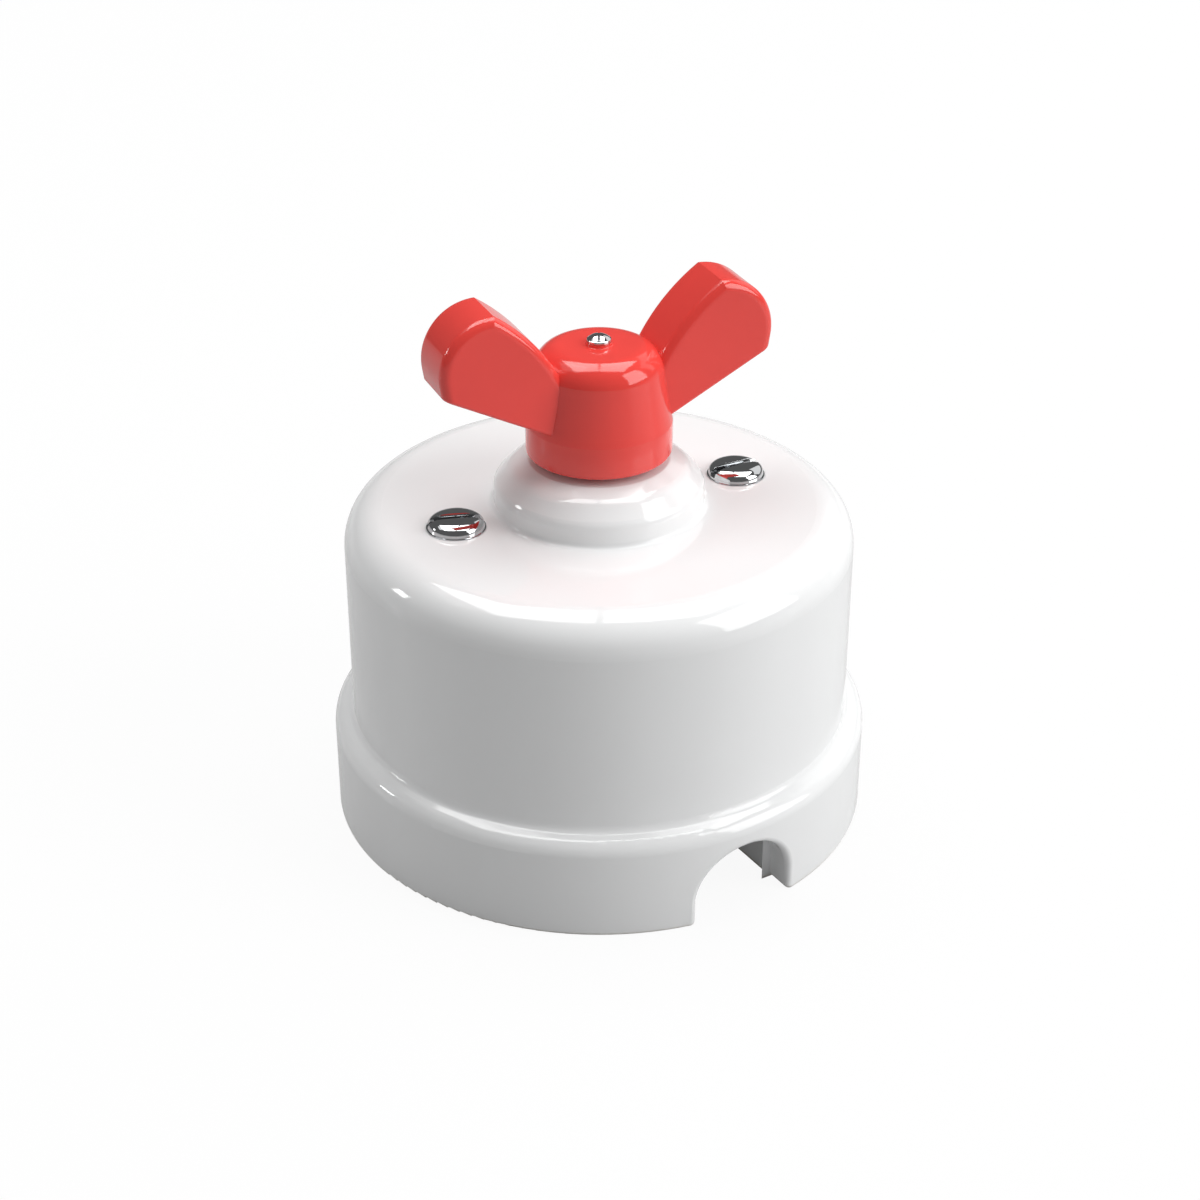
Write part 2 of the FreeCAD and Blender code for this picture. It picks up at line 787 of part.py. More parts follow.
def make_spindle():
    """One turned and milled bar: pivot, flange, square for the rotor, journal, drive square."""
    shoulder = insert_bottom
    bar = cylinder(pivot_radius, pivot_boss_top - pivot_depth + play, flange_bottom)
    bar = bar.fuse(cylinder(spindle_flange_radius, flange_bottom, rotor_bottom))
    bar = bar.fuse(square_bar(spindle_square, rotor_bottom, cam_top, spindle_corner_radius))
    bar = bar.fuse(cylinder(spindle_radius, cam_top, shoulder))
    bar = bar.fuse(square_bar(drive_square, shoulder, insert_top, drive_corner_radius)).removeSplitter()
    groove = ring(spindle_radius + overrun, clip_groove_radius, clip_bottom, clip_bottom + clip_thickness)
    bar = bar.cut(groove)
    tap_bottom = knob_screw_seat - knob_screw_depth - overrun
    return bar.cut(cylinder(knob_screw_radius + thread_gap, tap_bottom, insert_top + overrun))


def make_retaining_clip():
    clip = ring(clip_radius, clip_groove_radius + slip, clip_bottom, clip_bottom + clip_thickness)
    half = clip_mouth / 2
    bottom = clip_bottom - overrun
    top = clip_bottom + clip_thickness + overrun
    return clip.cut(block(0, clip_radius + overrun, -half, half, bottom, top))


def segment_shape(gap):
    """A curved plate of the rotor's contact ring; gap widens it into its pocket."""
    inner = rotor_radius - segment_depth - gap
    half = segment_angle / 2 + math.degrees(gap / rotor_radius)
    bottom = segment_bottom - gap
    height = segment_height + 2 * gap
    plate = Part.makeCylinder(rotor_radius + gap, height, vec(0, 0, bottom), vec(0, 0, 1), 2 * half)
    core = cylinder(inner, bottom - overrun, bottom + height + overrun)
    return spun(plate.cut(core), -half)


def square_hole(bottom, top):
    """Hole that slides over the spindle's square."""
    side = spindle_square + 2 * slip
    return square_bar(side, bottom - overrun, top + overrun, spindle_corner_radius)


def make_rotor():
    drum = cylinder(rotor_radius, rotor_bottom, rotor_top)
    rims = edges_where(drum, lambda edge: edge.BoundBox.ZLength < near)
    drum = drum.makeFillet(rotor_edge_radius, rims)
    drum = drum.cut(square_hole(rotor_bottom, rotor_top))
    for turn in (0, 180):
        drum = drum.cut(spun(segment_shape(slip), turn))
    return drum


def make_rotor_segment(turn):
    return spun(segment_shape(0), turn)


def make_index_cam():
    cam = square_bar(cam_square, rotor_top, cam_top, cam_corner_radius)
    return cam.cut(square_hole(rotor_top, cam_top))


def knob_hub():
    """Bell of the knob: foot band, waist, rounded crown and a low dome that meets it level."""
    def at(r, rise):
        return vec(r, 0, knob_bottom + rise)

    low = knob_foot_edge * (1 - math.sqrt(0.5))
    rounding = knob_crown_rounding
    centre_rise = knob_dome_edge_rise - rounding
    start = math.asin((knob_crown_rise - centre_rise) / rounding)
    dome_radius = knob_crown_radius - rounding * math.cos(start)
    middle = (start + math.pi / 2) / 2
    crown = at(knob_crown_radius, knob_crown_rise)
    crown_middle = at(dome_radius + rounding * math.cos(middle), centre_rise + rounding * math.sin(middle))
    dome_rim = at(dome_radius, knob_dome_edge_rise)
    edges = [
        Part.makeLine(at(0, 0), at(knob_foot_radius - knob_foot_edge, 0)),
        Part.Arc(
            at(knob_foot_radius - knob_foot_edge, 0),
            at(knob_foot_radius - low, low),
            at(knob_foot_radius, knob_foot_edge),
        ).toShape(),
        Part.makeLine(at(knob_foot_radius, knob_foot_edge), at(knob_foot_radius, knob_band_height)),
        Part.Arc(
            at(knob_foot_radius, knob_band_height),
            at(knob_waist_radius, knob_waist_rise),
            crown,
        ).toShape(),
        Part.Arc(crown, crown_middle, dome_rim).toShape(),
        dome_arc(dome_radius, knob_dome_rise, dome_rim.z),
        Part.makeLine(vec(0, 0, knob_top), at(0, 0)),
    ]
    return Part.Face(Part.Wire(edges)).revolve(vec(0, 0, 0), vec(0, 0, 1), 360)


def add_screw_boss(knob):
    """Low boss on the knob's dome under the screw's head, with a fillet round its foot."""
    knob = knob.fuse(cylinder(knob_boss_radius, insert_top, knob_screw_seat))

    def round_foot(edge):
        box = edge.BoundBox
        level = box.ZLength < slip and abs(box.ZMax - knob_top) < slip
        return level and abs(box.XMax - knob_boss_radius) < slip

    return knob.makeFillet(knob_boss_fillet, edges_where(knob, round_foot))


def wing_side():
    """Side of a wing: straight underside, an end that leans out, a round tip and a bowed inner edge."""
    def at(point):
        return vec(point[0], -wing_thickness / 2, knob_bottom + point[1])

    centre = (wing_outer_reach - wing_tip_radius, wing_tip_rise)
    corner = (wing_outer_reach - wing_end_lean, wing_corner_rise)
    run_x, run_z, distance = toward(centre, corner)
    touch = math.atan2(run_z, run_x) + math.acos(wing_tip_radius / distance)

    def on_tip(angle):
        return centre[0] + wing_tip_radius * math.cos(angle), centre[1] + wing_tip_radius * math.sin(angle)

    tip_start = on_tip(touch)
    tip_middle = on_tip((touch + math.pi / 2) / 2)
    apex = on_tip(math.pi / 2)
    foot = (wing_inner_foot_reach, wing_inner_foot_rise)
    run_x, run_z, _ = toward(foot, apex)
    bowed = (
        (apex[0] + foot[0]) / 2 - run_z * wing_inner_bow,
        (apex[1] + foot[1]) / 2 + run_x * wing_inner_bow,
    )
    root = (wing_root_reach, wing_root_rise)
    edges = [
        Part.makeLine(at(root), at(corner)),
        Part.makeLine(at(corner), at(tip_start)),
        Part.Arc(at(tip_start), at(tip_middle), at(apex)).toShape(),
        Part.Arc(at(apex), at(bowed), at(foot)).toShape(),
        Part.makeLine(at(foot), at(root)),
    ]
    return Part.Face(Part.Wire(edges))


def knob_wing():
    """Flat wing along +X. Its upper long edges are well rounded, and its lower edges only broken."""
    wing = wing_side().extrude(vec(0, wing_thickness, 0))
    corner_height = knob_bottom + wing_corner_rise + slip

    def is_upper(edge):
        box = edge.BoundBox
        along = box.YLength < near and box.XMax > wing_inner_foot_reach + slip
        return along and box.ZMax > corner_height

    def is_lower(edge):
        box = edge.BoundBox
        return box.XMax > wing_inner_foot_reach + slip and box.ZMax < corner_height

    wing = wing.makeFillet(wing_edge_radius, edges_where(wing, is_upper))
    return wing.makeFillet(wing_lower_edge_radius, edges_where(wing, is_lower))


def make_knob():
    wing = knob_wing()
    knob = add_screw_boss(knob_hub()).fuse([wing, spun(wing, 180)])
    knob = knob.cut(cylinder(insert_radius + slip, knob_bottom - overrun, insert_top + slip))
    return knob.cut(cylinder(knob_screw_radius + play, insert_top - overrun, knob_screw_seat + overrun))


def make_knob_insert():
    insert = cylinder(insert_radius, insert_bottom, insert_top)
    rims = edges_where(insert, lambda edge: edge.BoundBox.ZLength < near)
    insert = insert.makeChamfer(insert_chamfer, rims)
    side = drive_square + 2 * slip
    return insert.cut(square_bar(side, insert_bottom - overrun, insert_top + overrun, drive_corner_radius))


def make_knob_screw():
    seat = knob_screw_seat
    head_top = seat + knob_screw_head_height
    top = head_top + knob_screw_dome_rise
    head = knob_screw_head_radius
    edges = [
        Part.makeLine(vec(0, 0, seat), vec(head, 0, seat)),
        Part.makeLine(vec(head, 0, seat), vec(head, 0, head_top)),
        dome_arc(head, knob_screw_dome_rise, head_top),
        Part.makeLine(vec(0, 0, top), vec(0, 0, seat)),
    ]
    screw = Part.Face(Part.Wire(edges)).revolve(vec(0, 0, 0), vec(0, 0, 1), 360)
    screw = screw.fuse(cylinder(knob_screw_radius, seat - knob_screw_depth, seat))
    half = knob_screw_slot_width / 2
    reach = head + overrun
    slot = block(-reach, reach, -half, half, top - knob_screw_slot_depth, top + overrun)
    return screw.cut(spun(slot, knob_screw_turn))


def save(name, shape):
    shape.exportStep("parts/" + name + ".step")


def main():
    os.makedirs("parts", exist_ok=True)
    save("cover", make_cover())
    save("cover_screws", make_cover_screws())
    save("base", make_base())
    save("base_screws", make_base_screws())
    save("cover_posts", make_cover_posts())
    save("post_screws", make_post_screws())
    for quarter in quarters:
        save("terminal_" + quarter_names[quarter], make_terminal(*quarter))
        save("contact_leaf_" + quarter_names[quarter], make_contact_leaf(*quarter))
    save("clamp_screws", make_clamp_screws())
    save("leaf_rivets", make_leaf_rivets())
    save("yoke", make_yoke())
    save("spindle_bush", make_spindle_bush())
    save("thrust_washer", make_thrust_washer())
    save("index_spring_rear", make_index_spring(1))
    save("index_spring_front", make_index_spring(-1))
    save("spindle", make_spindle())
    save("retaining_clip", make_retaining_clip())
    save("rotor", make_rotor())
    save("rotor_segment_right", make_rotor_segment(0))
    save("rotor_segment_left", make_rotor_segment(180))
    save("index_cam", make_index_cam())
    save("knob", make_knob())
    save("knob_insert", make_knob_insert())
    save("knob_screw", make_knob_screw())


main()
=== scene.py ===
"""Porcelain rotary switch: its screws, the finish of every piece, the stage, the lamps and the camera."""

import math

import bpy
from bpy.props import FloatProperty, FloatVectorProperty, PointerProperty
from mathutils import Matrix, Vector


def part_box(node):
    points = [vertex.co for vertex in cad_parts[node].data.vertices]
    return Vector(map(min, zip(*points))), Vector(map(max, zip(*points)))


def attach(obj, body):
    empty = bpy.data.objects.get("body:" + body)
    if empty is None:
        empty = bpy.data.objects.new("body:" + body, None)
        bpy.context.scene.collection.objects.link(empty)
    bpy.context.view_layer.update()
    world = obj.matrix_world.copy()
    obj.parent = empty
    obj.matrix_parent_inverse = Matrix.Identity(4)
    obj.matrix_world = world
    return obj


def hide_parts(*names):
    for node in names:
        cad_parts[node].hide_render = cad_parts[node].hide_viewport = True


bl_info = {
    "name": "Porcelain rotary switch",
    "version": (1, 0, 0),
    "blender": (4, 5, 0),
    "location": "View3D > Sidebar > Rotary switch",
    "description": "Makes the screws and finishes of a porcelain rotary switch and sets its stage",
    "category": "Object",
}

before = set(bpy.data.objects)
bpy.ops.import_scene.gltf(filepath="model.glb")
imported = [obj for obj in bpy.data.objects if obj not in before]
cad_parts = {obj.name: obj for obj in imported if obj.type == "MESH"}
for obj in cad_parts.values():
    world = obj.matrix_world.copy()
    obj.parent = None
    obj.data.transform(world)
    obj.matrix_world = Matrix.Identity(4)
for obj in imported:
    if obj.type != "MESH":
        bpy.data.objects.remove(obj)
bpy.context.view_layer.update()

MM = 0.001

# Corners of the nodes that the screws stand for, or are set into.
COVER_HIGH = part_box("cover_screws")[1]
POST_LOW, POST_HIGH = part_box("post_screws")
BASE_LOW, BASE_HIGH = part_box("base_screws")
CLAMP_LOW, CLAMP_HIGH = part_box("clamp_screws")
KNOB_SCREW_LOW, KNOB_SCREW_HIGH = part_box("knob_screw")
TERMINAL_LOW, TERMINAL_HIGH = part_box("terminal_rear_right")
YOKE_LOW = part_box("yoke")[0]

# How far the solid heads of the cover screws and of the knob screw rise over their seats.
SOLID_COVER_RISE = 1.15 * MM
SOLID_KNOB_RISE = 1.1 * MM

# A thread in shares of its pitch: half its crest, and where its root begins and ends.
CREST_HALF = 0.08
ROOT_START = 0.42
ROOT_END = 0.58
# The radius of a screw's tip as a share of its shank's.
TIP_SHARE = 0.55
# A thread's last turn may be short by this share of its pitch, so that it never hangs on rounding.
TURN_SLACK = 0.001

# The exponent of the cover screws' crown: 2 is a ball's curve, and more is flatter on top.
CROWN_FULLNESS = 3.0
# How far a slot's cutter reaches past the head that it cuts.
CUTTER_SPARE = 1.0 * MM
# The turn of the slots: each post screw's, and the first base and clamp screw's with the step to the next.
POST_TURNS = (0.4, -0.7)
BASE_TURN, BASE_TURN_STEP = 0.6, 0.9
CLAMP_TURN, CLAMP_TURN_STEP = 0.4, 0.7
# Edges sharper than the first angle are broken, and edges under the second are shaded smooth.
BREAK_ANGLE = math.radians(40.0)
SMOOTH_ANGLE = math.radians(32.0)

# Height over the wall at which the foot's bare ring ends, and at which the glaze is whole.
BARE_UP_TO = 0.25 * MM
GLAZED_FROM = 0.55 * MM
# Refractive index of the glaze, the red plastic and the floor.
GLOSS_IOR = 1.5

FLOOR_RADIUS = 3.0
# The point that most of the lamps face.
LAMP_TARGET = Vector((0.0, 0.0, 0.04))
# How far the camera's aim lies off the spindle's axis, along X and Y.
AIM_OFFSET = (0.12 * MM, -0.05 * MM)


def length(name, description, millimetres):
    """A size in metres, with its default given in millimetres."""
    return FloatProperty(
        name=name, description=description, default=millimetres * MM, min=0.0, precision=5, unit="LENGTH"
    )


def colour(name, description, red, green, blue):
    """A linear colour."""
    return FloatVectorProperty(
        name=name, description=description, default=(red, green, blue), min=0.0, max=1.0, subtype="COLOR"
    )


def degrees(name, description, value):
    """An angle, with its default given in degrees."""
    return FloatProperty(name=name, description=description, default=math.radians(value), subtype="ANGLE")


def share(name, description, value):
    """A number from 0 to 1, such as a roughness."""
    return FloatProperty(
        name=name, description=description, default=value, min=0.0, max=1.0, subtype="FACTOR"
    )


class ScrewSizes(bpy.types.PropertyGroup):
    """Sizes of the switch's screws."""

    cover_head: length("Cover head", "Radius of a cover screw's head", 3.75)
    cover_ledge: length("Cover ledge", "Width of the ledge round a cover screw's crown", 0.16)
    cover_rim: length("Cover rim", "Height of a cover screw's rim", 0.06)
    cover_crown: length("Cover crown", "Rise of a cover screw's crown over its rim", 1.5)
    cover_shank: length("Cover shank", "Radius of a cover screw's shank", 2.0)
    cover_thread: length("Cover thread", "Depth of a cover screw's thread", 0.22)
    cover_length: length("Cover length", "Length of a cover screw below its rim", 12.0)
    cover_slot: length("Cover slot", "Width of a cover screw's slot", 1.05)
    cover_slot_depth: length("Cover slot depth", "Depth of the slot from the crown's top", 1.25)
    cover_chamfer: length("Cover chamfer", "Chamfer along the edges of that slot", 0.15)
    left_turn: degrees("Left turn", "Turn of the left cover screw's slot", -14.4)
    right_turn: degrees("Right turn", "Turn of the right cover screw's slot", 5.6)
    knob_head: length("Knob screw head", "Radius of the knob screw's head", 1.53)
    knob_rim: length("Knob screw rim", "Height of the knob screw's rim", 0.42)
    knob_dome: length("Knob screw dome", "Rise of the knob screw's dome over its rim", 0.58)
    knob_slot: length("Knob screw slot", "Width of the knob screw's slot", 0.28)
    knob_slot_depth: length("Knob screw slot depth", "Depth of the knob screw's slot", 0.4)
    knob_chamfer: length("Knob screw chamfer", "Chamfer along the edges of the knob screw's slot", 0.04)
    knob_turn: degrees("Knob screw turn", "Turn of the knob screw's slot", 67.0)
    knob_shank: length("Knob screw shank", "Radius of the knob screw's shank", 1.0)
    knob_thread: length("Knob screw thread", "Depth of the knob screw's thread", 0.12)
    knob_pitch: length("Knob screw pitch", "Pitch of the knob screw's thread", 0.4)
    post_head: length("Post screw head", "Radius of a post screw's head", 3.6)
    post_rise: length("Post screw rise", "Height of a post screw's head", 2.4)
    post_shank: length("Post screw shank", "Radius of a post screw's shank", 2.0)
    base_head: length("Base screw head", "Radius of a base screw's head", 2.75)
    base_rise: length("Base screw rise", "Height of a base screw's head", 1.9)
    base_shank: length("Base screw shank", "Radius of a base screw's shank", 1.5)
    base_pitch: length("Base screw pitch", "Pitch of a base screw's thread", 0.5)
    yoke_offset: length("Yoke screw offset", "Distance of the yoke's screws from the spindle", 10.5)
    yoke_grip: length("Yoke screw grip", "How far the yoke's screws reach over its underside", 1.2)
    clamp_head: length("Clamp screw head", "Radius of a clamp screw's head", 2.75)
    clamp_rise: length("Clamp screw rise", "Height of a clamp screw's head", 2.0)
    clamp_shank: length("Clamp screw shank", "Radius of a clamp screw's shank", 1.75)
    clamp_pitch: length("Clamp screw pitch", "Pitch of a clamp screw's thread", 0.6)
    pitch: length("Pitch", "Pitch of the cover and post screws' threads", 0.7)
    slot: length("Slot", "Width of the slots under the base and in the terminals", 0.8)
    slot_depth: length("Slot depth", "Depth of those slots", 1.0)
    slot_chamfer: length("Slot chamfer", "Chamfer along the edges of those slots", 0.06)


class FinishColours(bpy.types.PropertyGroup):
    """Colours of the switch's materials."""

    porcelain: colour("Porcelain", "White glazed porcelain", 0.855, 0.86, 0.862)
    biscuit: colour("Biscuit", "Unglazed porcelain of the foot", 0.74, 0.72, 0.68)
    red: colour("Red", "Moulded red plastic of the knob", 0.84, 0.064, 0.052)
    chrome: colour("Chrome", "Chrome plating of the screws", 0.60, 0.61, 0.62)
    brass: colour("Brass", "Turned and milled brass", 0.78, 0.57, 0.27)
    zinc: colour("Zinc", "Zinc plated steel", 0.62, 0.64, 0.66)
    spring: colour("Spring steel", "Rolled spring steel", 0.40, 0.40, 0.42)
    bronze: colour("Bronze", "Rolled spring bronze", 0.72, 0.46, 0.28)
    rotor: colour("Rotor", "Brown moulded thermoset", 0.12, 0.06, 0.035)
    glaze_roughness: share("Glaze roughness", "Roughness of the glaze", 0.06)
    red_roughness: share("Red roughness", "Roughness of the red plastic", 0.1)


class StudioSizes(bpy.types.PropertyGroup):
    """Where the camera stands and how bright the studio is."""

    camera_turn: degrees("Camera turn", "Azimuth of the knob's wings as the camera sees them", 23.0)
    camera_rise: degrees("Camera rise", "Elevation of the camera", 29.2)
    camera_distance: length("Camera distance", "Distance of the camera from what it looks at", 306.0)
    look_height: length("Look height", "Height of the point the camera looks at", 27.8)
    lens: FloatProperty(
        name="Lens", description="Focal length on a 36 mm wide sensor", default=70.5, unit="CAMERA"
    )
    sky: share("Sky", "Light that the studio's walls give", 0.34)
    sky_mirror: share("Sky mirror", "Brightness of the studio's walls in a reflection", 0.13)
    floor_bounce: share("Floor bounce", "Colour of the floor as the switch sees it", 0.43)
    floor_mirror: share("Floor mirror", "How white the floor looks in a reflection", 0.36)
    floor_shadow: share("Floor shadow", "How much of the shadows the white floor shows", 0.07)


def fresh_material(name, metallic, roughness):
    """A material with one Principled shader, and its node tree and shader."""
    material = bpy.data.materials.new(name)
    material.use_nodes = True
    shader = material.node_tree.nodes["Principled BSDF"]
    shader.inputs["Metallic"].default_value = metallic
    shader.inputs["Roughness"].default_value = roughness
    return material, material.node_tree, shader


def object_point(tree, stretch=(1.0, 1.0, 1.0)):
    """The point on the piece in metres, stretched along the axes."""
    place = tree.nodes.new("ShaderNodeTexCoord")
    mapping = tree.nodes.new("ShaderNodeMapping")
    mapping.inputs["Scale"].default_value = stretch
    tree.links.new(place.outputs["Object"], mapping.inputs["Vector"])
    return mapping.outputs["Vector"]


def noise(tree, point, scale, detail, roughness=0.5):
    """A noise whose features are about 1 / scale metres wide."""
    node = tree.nodes.new("ShaderNodeTexNoise")
    node.inputs["Scale"].default_value = scale
    node.inputs["Detail"].default_value = detail
    node.inputs["Roughness"].default_value = roughness
    tree.links.new(point, node.inputs["Vector"])
    return node.outputs["Fac"]


def to_range(tree, value, low, high, from_low=0.0, from_high=1.0):
    """Maps a value between from_low and from_high to one between low and high, held at the ends."""
    node = tree.nodes.new("ShaderNodeMapRange")
    node.inputs["From Min"].default_value = from_low
    node.inputs["From Max"].default_value = from_high
    node.inputs["To Min"].default_value = low
    node.inputs["To Max"].default_value = high
    tree.links.new(value, node.inputs["Value"])
    return node.outputs["Result"]


def between(tree, factor, first, second):
    """A colour between two, by a factor."""
    node = tree.nodes.new("ShaderNodeMix")
    node.data_type = "RGBA"
    node.inputs["A"].default_value = (*first, 1.0)
    node.inputs["B"].default_value = (*second, 1.0)
    tree.links.new(factor, node.inputs["Factor"])
    return node.outputs["Result"]


def emboss(tree, shader, height, distance, strength, below=None):
    """Lets a height raise the surface, over another bump where one is given."""
    node = tree.nodes.new("ShaderNodeBump")
    node.inputs["Distance"].default_value = distance
    node.inputs["Strength"].default_value = strength
    tree.links.new(height, node.inputs["Height"])
    if below is not None:
        tree.links.new(below, node.inputs["Normal"])
    tree.links.new(node.outputs["Normal"], shader.inputs["Normal"])
    return node.outputs["Normal"]


def shade(colour_value, factor):
    """A colour made lighter or darker."""
    return tuple(min(1.0, factor * channel) for channel in colour_value)


def glazed_porcelain(colours):
    """White porcelain under a clear glaze, bare on the ring it stands on."""
    material, tree, shader = fresh_material("glazed_porcelain", 0.0, colours.glaze_roughness)
    point = object_point(tree)
    split = tree.nodes.new("ShaderNodeSeparateXYZ")
    tree.links.new(point, split.inputs["Vector"])
    bare = to_range(tree, split.outputs["Z"], 1.0, 0.0, BARE_UP_TO, GLAZED_FROM)
    cloud = to_range(tree, noise(tree, point, scale=45.0, detail=3.0), 0.0, 1.0, 0.35, 0.7)
    glaze = between(tree, cloud, colours.porcelain, shade(colours.porcelain, 0.985))
    mix = tree.nodes.new("ShaderNodeMix")
    mix.data_type = "RGBA"
    mix.inputs["B"].default_value = (*colours.biscuit, 1.0)
    tree.links.new(glaze, mix.inputs["A"])
    tree.links.new(bare, mix.inputs["Factor"])
    tree.links.new(mix.outputs["Result"], shader.inputs["Base Color"])
    rough = to_range(tree, bare, colours.glaze_roughness, 0.75)
    tree.links.new(rough, shader.inputs["Roughness"])
    ripple = noise(tree, point, scale=110.0, detail=1.0)
    wave = emboss(tree, shader, ripple, distance=0.04 * MM, strength=0.6)
    pores = noise(tree, point, scale=900.0, detail=2.0)
    emboss(tree, shader, pores, distance=0.002 * MM, strength=0.5, below=wave)
    shader.inputs["IOR"].default_value = GLOSS_IOR
    return material


def moulded_red(colours):
    """Glossy red plastic with a trace of the mould's flow and fine handling marks."""
    material, tree, shader = fresh_material("moulded_red", 0.0, colours.red_roughness)
    point = object_point(tree)
    flow = to_range(tree, noise(tree, point, scale=70.0, detail=3.0), 0.0, 1.0, 0.3, 0.7)
    tree.links.new(between(tree, flow, colours.red, shade(colours.red, 0.94)), shader.inputs["Base Color"])
    marks = noise(tree, point, scale=260.0, detail=4.0, roughness=0.6)
    smooth, worn = 0.85 * colours.red_roughness, 1.2 * colours.red_roughness
    tree.links.new(to_range(tree, marks, smooth, worn, 0.35, 0.7), shader.inputs["Roughness"])
    ripple = noise(tree, point, scale=160.0, detail=1.0)
    wave = emboss(tree, shader, ripple, distance=0.03 * MM, strength=0.5)
    skin = noise(tree, point, scale=1500.0, detail=2.0)
    emboss(tree, shader, skin, distance=0.0015 * MM, strength=0.4, below=wave)
    shader.inputs["IOR"].default_value = GLOSS_IOR
    return material


def polished_chrome(colours):
    """Chrome plating with hairline scratches."""
    material, tree, shader = fresh_material("polished_chrome", 1.0, 0.06)
    shader.inputs["Base Color"].default_value = (*colours.chrome, 1.0)
    handling = noise(tree, object_point(tree), scale=700.0, detail=2.0, roughness=0.6)
    tree.links.new(to_range(tree, handling, 0.03, 0.05, 0.35, 0.75), shader.inputs["Roughness"])
    hairlines = noise(tree, object_point(tree, (1.0, 6.0, 1.0)), scale=900.0, detail=1.0)
    emboss(tree, shader, hairlines, distance=0.001 * MM, strength=0.3)
    return material


def worked_metal(name, tint, roughness, stretch, grain, spread):
    """A rolled, milled or turned metal: its grain runs along one axis, and its tone drifts a little."""
    material, tree, shader = fresh_material(name, 1.0, roughness)
    drift = to_range(tree, noise(tree, object_point(tree), scale=220.0, detail=3.0), 0.0, 1.0, 0.3, 0.7)
    tree.links.new(between(tree, drift, tint, shade(tint, 1.0 - spread)), shader.inputs["Base Color"])
    streak = noise(tree, object_point(tree, stretch), scale=grain, detail=3.0, roughness=0.6)
    gloss = to_range(tree, streak, 0.75 * roughness, 1.3 * roughness, 0.3, 0.7)
    tree.links.new(gloss, shader.inputs["Roughness"])
    emboss(tree, shader, streak, distance=0.006 * MM, strength=0.5)
    return material


def moulded_rotor(colours):
    """Brown thermoset with a fine speckle of filler."""
    material, tree, shader = fresh_material("moulded_rotor", 0.0, 0.42)
    point = object_point(tree)
    speck = to_range(tree, noise(tree, point, scale=2200.0, detail=2.0), 0.0, 1.0, 0.55, 0.72)
    tone = between(tree, speck, colours.rotor, shade(colours.rotor, 1.9))
    tree.links.new(tone, shader.inputs["Base Color"])
    dull = to_range(tree, noise(tree, point, scale=400.0, detail=3.0), 0.36, 0.52)
    tree.links.new(dull, shader.inputs["Roughness"])
    skin = noise(tree, point, scale=1200.0, detail=2.0)
    emboss(tree, shader, skin, distance=0.006 * MM, strength=0.5)
    return material


def milled_brass(colours):
    """Brass with fine marks along its turned and milled faces."""
    return worked_metal("milled_brass", colours.brass, 0.24, (1.0, 1.0, 9.0), 700.0, 0.12)


def zinc_plated_steel(colours):
    """Steel under a dull zinc plating."""
    return worked_metal("zinc_plated_steel", colours.zinc, 0.28, (1.0, 1.0, 1.0), 500.0, 0.18)


def rolled_spring_steel(colours):
    """Dark spring strip, rolled along its length."""
    return worked_metal("rolled_spring_steel", colours.spring, 0.26, (1.0, 6.0, 6.0), 600.0, 0.2)


def rolled_bronze(colours):
    """Bronze strip of the contact leaves, rolled along its length."""
    return worked_metal("rolled_bronze", colours.bronze, 0.24, (6.0, 1.0, 6.0), 600.0, 0.14)


def shared(make, context):
    """The material that a function makes, made at its first use and shared after that."""
    return bpy.data.materials.get(make.__name__) or make(context.scene.switch_colours)


def dress(nodes, material):
    """Gives CAD nodes their finish."""
    for node in nodes:
        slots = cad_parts[node].data.materials
        slots.clear()
        slots.append(material)


def four_of(kind):
    """The names of the four nodes of a kind, one in each quarter."""
    return [f"{kind}_{end}_{side}" for end in ("rear", "front") for side in ("right", "left")]


def let_go():
    """Leaves edit mode and selects nothing."""
    if bpy.context.object and bpy.context.object.mode != "OBJECT":
        bpy.ops.object.mode_set(mode="OBJECT")
    bpy.ops.object.select_all(action="DESELECT")


def turned(name, outline, sides):
    """A turned piece: a disc at the outline's first point, extruded and scaled from ring to ring."""
    let_go()
    radius, height = outline[0]
    bpy.ops.mesh.primitive_circle_add(
        vertices=sides, radius=radius, fill_type="NGON", location=(0, 0, height)
    )
    piece = bpy.context.object
    piece.name = piece.data.name = name
    bpy.ops.object.transform_apply(location=True, rotation=True, scale=True)
    bpy.ops.object.mode_set(mode="EDIT")
    bpy.ops.mesh.select_all(action="SELECT")
    for next_radius, next_height in outline[1:]:
        bpy.ops.mesh.extrude_region_move(TRANSFORM_OT_translate={"value": (0, 0, next_height - height)})
        growth = next_radius / radius
        bpy.ops.transform.resize(value=(growth, growth, 1.0), center_override=(0, 0, next_height))
        radius, height = next_radius, next_height
    bpy.ops.mesh.select_all(action="SELECT")
    bpy.ops.mesh.normals_make_consistent(inside=False)
    bpy.ops.object.mode_set(mode="OBJECT")
    return piece


def dome(radius, rise, bottom, steps=16):
    """Rings of a dome from its rim to near its top."""
    sphere = (radius * radius + rise * rise) / (2 * rise)
    half_angle = math.asin(min(1.0, radius / sphere))
    rings = []
    for step in range(steps + 1):
        angle = half_angle * (1 - step / (steps + 0.5))
        rings.append((sphere * math.sin(angle), bottom + rise - sphere * (1 - math.cos(angle))))
    return rings


def threaded(radius, depth, pitch, bottom, top):
    """Rings of a thread's crests and roots, from the tip up."""
    rings = [(TIP_SHARE * radius, bottom), (radius - depth, bottom + pitch / 2)]
    height = bottom + pitch
    while height < top - (1 - TURN_SLACK) * pitch:
        rings += [
            (radius, height - CREST_HALF * pitch),
            (radius, height + CREST_HALF * pitch),
            (radius - depth, height + ROOT_START * pitch),
            (radius - depth, height + ROOT_END * pitch),
        ]
        height += pitch
    return rings


